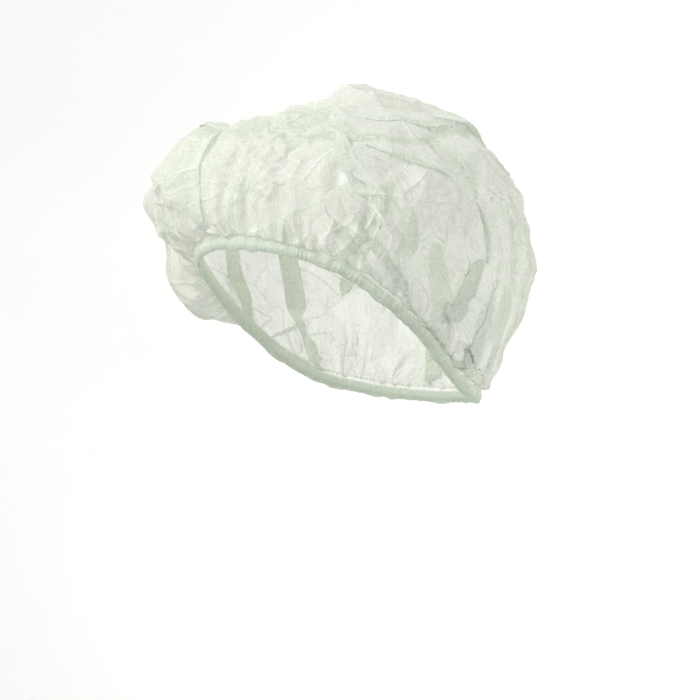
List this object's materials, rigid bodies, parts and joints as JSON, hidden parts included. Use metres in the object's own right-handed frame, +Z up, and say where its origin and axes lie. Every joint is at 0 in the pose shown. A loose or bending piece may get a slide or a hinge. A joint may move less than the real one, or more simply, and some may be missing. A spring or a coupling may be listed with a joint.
{
  "type": "disposable bouffant cap",
  "caption": "Disposable bouffant cap of thin pale green non-woven cloth, gathered into a ruffled hem over an elastic ring, in the shape it takes when worn.",
  "frame": {"origin": "Centre of the head opening, halfway between its highest and its lowest place, where a head holds the cap.", "axes": "+Z up; -Y towards the forehead; +X towards the wearer's left."},
  "size_m": [0.2074, 0.2269, 0.1744],
  "materials": {
    "cloth": "thin spun-bond polypropylene, matt and see-through",
    "hem_cloth": "the same cloth doubled and gathered, so less see-through",
    "elastic_cord": "thin covered elastic, matt"
  },
  "bodies": {
    "root": {"crown": "cloth", "hem": "hem_cloth", "elastic": "elastic_cord"}
  },
  "joints": []
}
